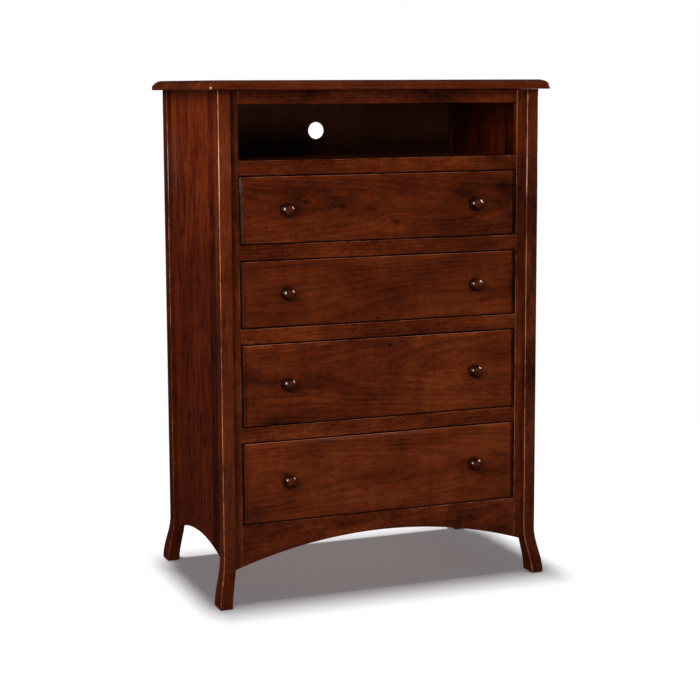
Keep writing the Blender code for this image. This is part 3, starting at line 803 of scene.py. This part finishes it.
    def wear_and_highlight(self, worn_and_lit, lit_side):
        """Lightens the arrises, where the surface faces no axis squarely: rubbing and painted highlight.

        rubbed is the axis and the sign of the side turned to the lamps, whose arrises get most of the
        painted highlight.
        """
        squarest = self.maths("MAXIMUM", self.facing(Y), self.facing(Z))
        wear_and_highlight = self.step(self.maths("MAXIMUM", self.facing(X), squarest), *ARRIS_FACING) * worn_and_lit
        if lit_side:
            axis, sign = lit_side
            on_side = self.step(self.turned(axis) * sign, *LIT_SIDE_TURN)
            wear_and_highlight = wear_and_highlight * (LEAST_WEAR_AND_HIGHLIGHT + on_side * (1 - LEAST_WEAR_AND_HIGHLIGHT))
        self.tone = self.maths("MINIMUM", self.tone, WEAR_AND_HIGHLIGHT_LIMIT) + wear_and_highlight


def wood(name, axes, seed, tones, lift=0.0, boards=(), pith=(0.03, 0.06), tilt=0.03, rings=0.0085, width=1.0,
         figure=0.16, streaks=1.0, cloud=1.0, curl=0.3, knots=(), patches=(), knob_shadows_at=(), painted_light_above=None,
         dark_ends=None, underside_shade_line=None, gap_shade_line=None, gap_shade=0.0, knob_shade=False, shaded_face=None,
         inside_shade=None, worn_and_lit=0.3, lit_side=None, roughness=0.3, specular=0.10, coat=0.7,
         coat_roughness=0.1, flat_coat=None, bump=0.15):
    """A board's material. tones is its ramp of colours, and the steps of Wood say what most settings do.

    painted_light_above is (low, high, lift) along the grain: painted light on the upper part, or painted
    shade where lift is below nought. roughness is the mean one, and flat_coat the coat's weight on a face
    that looks up or down.
    """
    finish = Wood(name, axes, seed, lift)
    finish.join(boards)
    finish.grow(pith, tilt, rings, knots, width)
    finish.colour(figure, streaks, cloud, curl)
    finish.mark(knots, patches, knob_shadows_at)
    # Painted light on a board's upper part, or painted shade where the lift is below nought
    if painted_light_above:
        low, high, change = painted_light_above
        height = finish.along + (finish.soft - 0.5) * PAINTED_LIGHT_RAGGED
        finish.tone = finish.tone + finish.step(height, low, high) * change
    finish.darken_edges(dark_ends, underside_shade_line, gap_shade_line)
    finish.darken_faces(gap_shade, knob_shade, shaded_face, inside_shade)
    # The arrises get lighter: partly rubbing, partly painted highlight
    if worn_and_lit:
        finish.wear_and_highlight(worn_and_lit, lit_side)
    if flat_coat is not None:
        coat = coat - finish.step(finish.facing(Z), *FLAT_FACING) * (coat - flat_coat)
    height = (finish.finer - 0.5) * FINE_RELIEF + (finish.fine - 0.5) * FINE_RELIEF
    height = height - finish.pores * PORE_RELIEF - finish.flecks * FLECK_RELIEF + finish.soft * SOFT_RELIEF
    relief = {"Height": height, "Strength": bump, "Distance": RELIEF}
    roughness = roughness + (finish.soft - 0.5) * SOFT_ROUGHNESS + finish.pores * PORE_ROUGHNESS
    sockets = {
        "Base Color": finish.add("ShaderNodeValToRGB", {"stops": tones}, {"Fac": finish.tone}),
        "Roughness": roughness - finish.late * LATE_ROUGHNESS,
        "Normal": finish.add("ShaderNodeBump", {}, relief),
        "Specular IOR Level": specular,
        "Coat Weight": coat,
        "Coat Roughness": coat_roughness,
    }
    for socket, value in sockets.items():
        finish.feed(finish.shader, socket, value)
    return finish.owner


# Ramps of colours, from the darkest tone to the lightest
STAINED = ((0.0, (0.0090, 0.0019, 0.0010)), (0.25, (0.0330, 0.0050, 0.0013)),
           (0.5, (0.0640, 0.0100, 0.0017)), (0.75, (0.1050, 0.0176, 0.0026)),
           (0.88, (0.1600, 0.0320, 0.0070)), (1.0, (0.4200, 0.1600, 0.0850)))
SIDE_STAINED = ((0.0, (0.0090, 0.0016, 0.0010)), (0.25, (0.0330, 0.0040, 0.0012)),
                (0.5, (0.0640, 0.0078, 0.0016)), (0.75, (0.1050, 0.0152, 0.0026)),
                (1.0, (0.1900, 0.0360, 0.0080)))
DARK_STAINED = ((0.0, (0.0300, 0.0080, 0.0040)), (0.5, (0.1000, 0.0300, 0.0130)),
                (1.0, (0.2000, 0.0700, 0.0320)))
INNER = ((0.0, (0.020, 0.006, 0.003)), (0.5, (0.095, 0.030, 0.012)), (1.0, (0.180, 0.065, 0.028)))
PALE = ((0.0, (0.28, 0.15, 0.07)), (0.35, (0.46, 0.28, 0.14)), (0.7, (0.60, 0.41, 0.23)),
        (1.0, (0.70, 0.52, 0.32)))


# Camera

CAMERA_PLACE = (-1.6988, -4.3188, 1.3324)
CAMERA_ANGLES = (0.3770, 0.1302, -0.0042)  # its turn to the right, its pitch downwards and its roll
CAMERA_LENS = 87.5
CAMERA_SHIFT = (-0.0032, -0.06)
CAMERA_SENSOR = 36.0
CAMERA_REACH = 60.0


def make_camera():
    """The camera. It looks along its turn and its pitch, and rolls about that line."""
    turn, pitch, roll = CAMERA_ANGLES
    ahead = Vector((math.sin(turn) * math.cos(pitch), math.cos(turn) * math.cos(pitch), -math.sin(pitch)))
    right = Vector((math.cos(turn), -math.sin(turn), 0.0))
    up = right.cross(ahead)
    rolled_right = right * math.cos(roll) + up * math.sin(roll)
    rolled_up = up * math.cos(roll) - right * math.sin(roll)
    data = bpy.data.cameras.new("camera")
    data.sensor_width = CAMERA_SENSOR
    data.lens = CAMERA_LENS
    data.shift_x, data.shift_y = CAMERA_SHIFT
    data.clip_end = CAMERA_REACH
    camera = bpy.data.objects.new("camera", data)
    turned = Matrix((rolled_right, rolled_up, -ahead)).transposed().to_4x4()
    camera.matrix_world = Matrix.Translation(CAMERA_PLACE) @ turned
    bpy.context.scene.collection.objects.link(camera)
    bpy.context.scene.camera = camera


# Lamps

OVERHEAD_PLACE = (-0.15, 0.55, 25.0)
OVERHEAD_SIZE = (1.6, 3.8)
OVERHEAD_IRRADIANCE = 2.85
AIM = (0.0, 0.0, 0.7)  # the softboxes face this point

# Softboxes: azimuth in degrees, from straight ahead towards the left of the picture, distance, height,
# size, watts, warmth and whether the lacquer mirrors it
CHEST_SOFTBOXES = (
    ("left_softbox", 50, 3.0, 1.78, (1.3, 1.35), 78, 0.12, True),
    ("front_softbox", 4, 3.2, 3.2, (1.4, 0.8), 34, 0.0, False),
    ("right_softbox", -90, 2.4, 1.85, (0.8, 1.2), 48, 0.24, True),
    ("side_softbox", 96, 1.3, 2.0, (0.6, 0.6), 12, 0.0, False),
    ("low_softbox", -35, 3.0, 0.9, (0.6, 0.6), 8, 0.0, False),
    ("left_card", 17, 3.0, 0.9, (0.5, 0.5), 0.6, 0.0, True),
    ("right_card", -20, 3.0, 1.95, (0.9, 0.8), 0.8, 0.0, True),
    ("ceiling_card", 200, 1.2, 3.2, (2.5, 2.5), 1.0, 0.0, True),
    ("back_softbox", 195, 3.0, 1.9, (1.6, 1.4), 60, 0.0, False),
)
KNOB_SOFTBOXES = (
    ("knob_card_left", 22, 2.6, 2.6, (0.5, 1.0), 24, 0.0, False),
    ("knob_card_right", -66, 2.6, 2.0, (0.6, 0.9), 30, 0.3, True),
)


def linked(name, pieces, state):
    """A collection of pieces that a lamp's light or shadow includes or excludes."""
    group = bpy.data.collections.new(name)
    for piece in pieces:
        group.objects.link(piece)
    for member in group.collection_objects:
        member.light_linking.link_state = state
    return group


def add_lamp(name, shape, size, energy, place, back, receivers):
    """A lamp in its place, with its back to a direction, for the pieces that receivers names."""
    data = bpy.data.lights.new(name, "AREA")
    data.shape = shape
    data.size, data.size_y = size
    data.energy = energy
    lamp = bpy.data.objects.new(name, data)
    lamp.location = place
    lamp.rotation_mode = "QUATERNION"
    lamp.rotation_quaternion = back.to_track_quat("Z", "Y")
    bpy.context.scene.collection.objects.link(lamp)
    lamp.light_linking.receiver_collection = linked(name + "_receivers", *receivers)
    return lamp


def add_softbox(name, azimuth, distance, height, size, power, warmth, mirrored, receivers):
    """A softbox on a circle round the chest. Its blue lacks its warmth, and its green half of that."""
    angle = math.radians(azimuth)
    place = Vector((-math.sin(angle) * distance, -math.cos(angle) * distance, height))
    lamp = add_lamp(name, "RECTANGLE", size, power, place, place - Vector(AIM), receivers)
    lamp.data.color = (1.0, 1.0 - warmth / 2, 1.0 - warmth)
    lamp.visible_glossy = mirrored


def make_lamps():
    """An oval lamp high above for the floor alone, softboxes for the chest and two for the knobs.

    The oval lamp gives the chest's shadow its soft rim. The knobs cast nothing in it.
    """
    floor = [bpy.data.objects["floor"]]
    knobs = [piece for piece in bpy.data.objects if "_knob_" in piece.name]
    energy = OVERHEAD_IRRADIANCE * math.pi * OVERHEAD_PLACE[Z] ** 2
    overhead = add_lamp("overhead_light", "ELLIPSE", OVERHEAD_SIZE, energy, Vector(OVERHEAD_PLACE),
                        Vector((0.0, 0.0, 1.0)), (floor, "INCLUDE"))
    overhead.light_linking.blocker_collection = linked("overhead_light_blockers", knobs, "EXCLUDE")
    for softbox in CHEST_SOFTBOXES:
        add_softbox(*softbox, (floor, "EXCLUDE"))
    for softbox in KNOB_SOFTBOXES:
        add_softbox(*softbox, (knobs, "INCLUDE"))


# World and floor

WORLD_FILL = 0.06
WORLD_GLOSS = 0.01
FLOOR_RADIUS = 9.0
FLOOR_SIDES = 96
FLOOR_FADE = (1.3, 2.2)  # from the first distance to the second the floor turns white
FLOOR_MATT = (0.80, 0.79, 0.78, 1.0)
FLOOR_LIT = (0.96, 0.96, 0.96, 1.0)
FLOOR_SHADE = (0.139, 0.126, 0.134, 1.0)  # the tone of the shadow's core


def make_world():
    """White where the camera looks past the chest; a dim room for the light that falls on it."""
    world = bpy.data.worlds.new("studio")
    finish = Finish(world)
    background = finish.nodes["Background"]
    rays = ("Is Camera Ray", "Is Transmission Ray", "Is Diffuse Ray", "Is Glossy Ray")
    camera, transmission, diffuse, glossy = (finish.add("ShaderNodeLightPath", output=ray) for ray in rays)
    seen = finish.maths("MAXIMUM", camera, transmission)
    finish.feed(background, "Color", (1.0, 1.0, 1.0, 1.0))
    finish.feed(background, "Strength", seen + (diffuse * WORLD_FILL + glossy * WORLD_GLOSS))
    bpy.context.scene.world = world


def make_floor():
    """A round pale floor that turns into the white background away from the chest."""
    turn = np.linspace(0, 2 * math.pi, FLOOR_SIDES, endpoint=False)
    rim = np.stack((FLOOR_RADIUS * np.cos(turn), FLOOR_RADIUS * np.sin(turn), np.zeros_like(turn)), -1)
    mesh = bpy.data.meshes.new("floor")
    mesh.from_pydata(rim, [], [list(range(FLOOR_SIDES))])
    floor = bpy.data.objects.new("floor", mesh)
    bpy.context.scene.collection.objects.link(floor)
    finish = Finish(bpy.data.materials.new("pale_floor"))
    finish.nodes.remove(finish.nodes["Principled BSDF"])
    rays = ("Is Camera Ray", "Is Transmission Ray")
    seen = finish.maths("MAXIMUM", *(finish.add("ShaderNodeLightPath", output=ray) for ray in rays))
    spot = finish.add("ShaderNodeTexCoord", output="Object")
    distance = finish.add("ShaderNodeVectorMath", {"operation": "LENGTH"}, {0: spot}, "Value")
    far = finish.step(distance, *FLOOR_FADE)
    matt = finish.add("ShaderNodeBsdfDiffuse", {}, {"Color": FLOOR_MATT})
    lit = finish.add("ShaderNodeBsdfDiffuse", {}, {"Color": FLOOR_LIT})
    shade = finish.add("ShaderNodeEmission", {}, {"Color": FLOOR_SHADE})
    near = finish.add("ShaderNodeAddShader", {}, {0: lit, 1: shade})
    white = finish.add("ShaderNodeEmission", {}, {"Strength": 1.0})
    shown = finish.add("ShaderNodeMixShader", {}, {0: far, 1: near, 2: white})
    mixed = finish.add("ShaderNodeMixShader", {}, {0: seen, 1: matt, 2: shown})
    finish.feed(finish.nodes["Material Output"], "Surface", mixed)
    mesh.materials.append(finish.owner)
    floor.visible_glossy = False


# The chest

# The axis along a board's grain, the one across the board and the one through it
LEVEL = (X, Z, Y)
ACROSS_TOP = (X, Y, Z)
UPRIGHT = (Z, X, Y)
UPRIGHT_SIDE = (Z, Y, X)
INWARDS = (Y, Z, X)

# Glued panels: each joint, and how much lighter the board beyond it is
SIDE_BOARDS = ((-0.123, 0.30), (-0.105, -0.06), (0.055, -0.05), (0.150, 0.06))
BACK_BOARDS = ((-0.1, -0.09), (0.14, -0.10))
TOP_BOARDS = ((-0.130, -0.06), (0.010, 0.08), (0.145, -0.04))

HANDS = {"left": -1, "right": 1}
RAILS = ("top_rail", "shelf_rail", "drawer_rail_1", "drawer_rail_2", "drawer_rail_3")
# The sides lit from above or from the left, whose arrises get most of the painted highlight
LIT_FROM_ABOVE = (Z, 1.0)
LIT_FROM_LEFT = (X, -1.0)
RAIL_LENGTH = 1.0  # longer than a rail, so that its ends have no dark line
# The top's line of painted shade is whole up to this height above its underside
TOP_SHADE_LINE = 0.0004
# Painted shade on the compartment's back: darkest at its floor, gone this far above it
INSIDE_SHADE_ABOVE_FLOOR = 0.085
DRAWER_DARK_ENDS = 0.377

# The drawer fronts from the top, and the marks in their grain
DRAWERS = (
    {"pith": (1.027, -0.150), "tilt": -0.06, "lift": 0.02, "cloud": 1.1, "streaks": 0.9,
     "knots": ((-0.212, 1.037, 0.008), (0.038, 0.978, 0.016)),
     "patches": ((-0.235, 1.060, 0.060, 0.040, 0.20), (0.355, 1.040, 0.030, 0.045, 0.32),
                 (0.225, 1.020, 0.045, 0.030, 0.14), (-0.005, 0.950, 0.030, 0.007, 0.25),
                 (0.300, 0.975, 0.080, 0.012, -0.14), (-0.300, 0.975, 0.060, 0.040, -0.04))},
    {"pith": (0.700, -0.050), "tilt": 0.03, "lift": 0.06, "cloud": 0.85, "streaks": 0.9,
     "knots": ((-0.013, 0.729, 0.007),),
     "patches": ((0.050, 0.805, 0.085, 0.022, 0.10), (-0.110, 0.860, 0.040, 0.010, 0.14),
                 (0.372, 0.795, 0.014, 0.040, 0.28), (0.250, 0.738, 0.130, 0.010, -0.16),
                 (-0.310, 0.876, 0.060, 0.010, 0.18), (-0.300, 0.800, 0.090, 0.060, 0.14))},
    {"pith": (0.600, -0.120), "tilt": 0.05, "lift": 0.10, "cloud": 1.1, "streaks": 1.2,
     "knots": ((0.020, 0.655, 0.009),),
     "patches": ((-0.320, 0.540, 0.130, 0.100, 0.34), (-0.320, 0.578, 0.045, 0.014, 0.30),
                 (-0.300, 0.474, 0.080, 0.014, 0.32), (0.010, 0.612, 0.040, 0.022, 0.18),
                 (0.340, 0.600, 0.045, 0.035, 0.12), (-0.340, 0.520, 0.040, 0.035, -0.10),
                 (-0.050, 0.580, 0.130, 0.010, 0.12), (0.345, 0.555, 0.050, 0.012, 0.14),
                 (0.230, 0.540, 0.180, 0.090, -0.26))},
    {"pith": (0.330, -0.160), "tilt": -0.05, "lift": 0.18, "cloud": 0.95, "streaks": 1.2,
     "knots": ((0.062, 0.232, 0.006),),
     "patches": ((-0.070, 0.275, 0.060, 0.020, 0.18), (-0.020, 0.304, 0.055, 0.012, 0.16),
                 (-0.358, 0.240, 0.030, 0.030, 0.34), (-0.310, 0.320, 0.060, 0.025, -0.10),
                 (0.340, 0.290, 0.050, 0.012, 0.14), (0.250, 0.350, 0.100, 0.030, -0.14))},
)


def dress_nodes(finish, *names):
    """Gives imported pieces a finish."""
    for name in names:
        for slot in bpy.data.objects[name].material_slots:
            slot.material = finish


def dress_top():
    """The top board, with a line of painted shade along its underside."""
    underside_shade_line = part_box("top_board")[0][Z] + TOP_SHADE_LINE
    make_top(wood("top_wood", ACROSS_TOP, 1, STAINED, pith=(0.2, -0.35), boards=TOP_BOARDS, lift=0.05,
                  worn_and_lit=0.10, coat=1.0, flat_coat=0.2, underside_shade_line=underside_shade_line))


def dress_side(number, hand, side):
    """The two posts, the side panel and the stile of one side."""
    post = {"rings": 0.006, "coat": 1.0, "coat_roughness": 0.18, "lit_side": LIT_FROM_LEFT}
    # The front posts get painted light towards their tops
    make_post("post_front_" + hand, side, -1,
              wood(f"post_front_{hand}_wood", UPRIGHT, 2 + number, STAINED, lift=0.06 - 0.09 * number,
                   painted_light_above=(0.6, 1.4, 0.06), cloud=1.0 + 0.5 * number, streaks=1.6, width=1.6,
                   worn_and_lit=0.42 + 0.15 * number, **post))
    make_post("post_back_" + hand, side, 1,
              wood(f"post_back_{hand}_wood", UPRIGHT, 4 + number, STAINED, lift=-0.08, worn_and_lit=0.5, **post))
    inwards = float(-side)
    # The panel gets painted light on its upper part, and painted shade on its inner face, darker towards the
    # back
    panel = wood(f"side_panel_{hand}_wood", UPRIGHT_SIDE, 6 + number, SIDE_STAINED, pith=(0.6, 0.0),
                 boards=SIDE_BOARDS, lift=-0.21, painted_light_above=(0.80, 1.30, 0.24), figure=0.05, streaks=3.4,
                 width=3.0, cloud=0.85, curl=0.2, coat=0.3, shaded_face=inwards,
                 inside_shade=(X, inwards, 1, 0.03, 0.17, 0.3))
    make_arched("side_panel_" + hand, SIDE_ARCH, (Y, Z, X), panel, SHARP_ENDS)
    # The left stile's upper part gets painted shade: the shadow of the proud post beside it
    stile = wood(f"stile_{hand}_wood", UPRIGHT, 8 + number, STAINED, lift=0.09 - 0.10 * number, worn_and_lit=0.5,
                 cloud=1.3, streaks=1.6, width=1.6, painted_light_above=(0.8, 1.1, -0.26) if side < 0 else None)
    make_arched("stile_" + hand, FRONT_ARCH, (X, Z, Y), stile)


def dress_rails():
    """The apron and the rails of the face frame, whose lower edges have a line of painted shade."""
    apron = wood("apron_wood", LEVEL, 10, STAINED, lift=0.03, cloud=1.6, worn_and_lit=0.4, lit_side=LIT_FROM_ABOVE)
    make_arched("apron", FRONT_ARCH, (X, Z, Y), apron, SHARP_ENDS)
    for number, name in enumerate(RAILS):
        # The top rail is darker, as painted shade under the top board's overhang
        lift = -0.13 if name == "top_rail" else 0.04
        # Each rail gets painted shade in its gaps and a line of painted shade along its lower edge
        rail = wood(name + "_wood", LEVEL, 11 + number, STAINED, lift=lift, cloud=1.6, streaks=1.1,
                    figure=0.2, gap_shade=0.6, worn_and_lit=0.45, lit_side=LIT_FROM_ABOVE,
                    gap_shade_line=(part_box(name)[0][Z], RAIL_LENGTH))
        make_board(name, rail)


def dress_inside():
    """The compartment's floor and back, the rails behind, the cleats and the drawers' runners."""
    make_board("compartment_shelf", wood("shelf_wood", ACROSS_TOP, 16, STAINED), END_ARRIS)
    inner = wood("inner_wood", LEVEL, 17, INNER, roughness=0.5, coat=0.0)
    # The back panel's inner face gets painted shade, darkest at the compartment's floor
    back = wood("back_panel_wood", UPRIGHT, 18, DARK_STAINED, boards=BACK_BOARDS, lift=0.16, figure=0.12,
                cloud=0.4, curl=0.1, roughness=0.45, coat=0.0,
                inside_shade=(Y, -1.0, 0, compartment_floor + INSIDE_SHADE_ABOVE_FLOOR, compartment_floor, 0.5))
    make_back_panel(back)
    runner = wood("runner_wood", INWARDS, 19, INNER, roughness=0.5, coat=0.0)
    dress_nodes(inner, "back_rail_top", "back_rail_bottom")
    for hand in HANDS:
        dress_nodes(runner, "shelf_cleat_" + hand, "top_cleat_" + hand)
        dress_nodes(runner, *(f"runner_{number}_{hand}" for number in (1, 2, 3, 4)))


def dress_drawers():
    """The drawers: stained fronts and knobs on pale boxes."""
    # The knobs get painted shade on their rims and undersides
    knob = wood("knob_wood", INWARDS, 20, STAINED, rings=0.004, cloud=1.1, lift=-0.15, knob_shade=True,
                worn_and_lit=0.0, roughness=0.25, specular=0.12, coat=1.0, coat_roughness=0.07, bump=0.03)
    box_side = wood("box_side_wood", INWARDS, 21, PALE, roughness=0.45, coat=0.1)
    box_back = wood("box_back_wood", LEVEL, 22, PALE, roughness=0.45, coat=0.1)
    for number, marks in enumerate(DRAWERS, 1):
        body = f"drawer_{number}"
        low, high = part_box(body + "_front")
        middles = [sum(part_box(f"{body}_knob_{hand}"), Vector()) / 2 for hand in HANDS]
        # Painted shade in gaps, on lower edges and right ends; a painted shadow round each knob
        front = wood(body + "_wood", LEVEL, 30 + number, STAINED, figure=0.22, dark_ends=DRAWER_DARK_ENDS,
                     gap_shade=0.6, worn_and_lit=0.5, lit_side=LIT_FROM_ABOVE, gap_shade_line=(low[Z], high[X]),
                     knob_shadows_at=[(middle.x, middle.z) for middle in middles], **marks)
        make_drawer_front(body + "_front", body, front)
        for hand in HANDS:
            make_knob(f"{body}_knob_{hand}", body, knob)
            dress_nodes(box_side, f"{body}_side_{hand}")
        dress_nodes(box_back, body + "_back", body + "_bottom")


dress_top()
for number, (hand, side) in enumerate(HANDS.items()):
    dress_side(number, hand, side)
dress_rails()
dress_inside()
dress_drawers()
make_camera()
make_world()
make_floor()
make_lamps()
bpy.context.scene.view_settings.view_transform = "Standard"
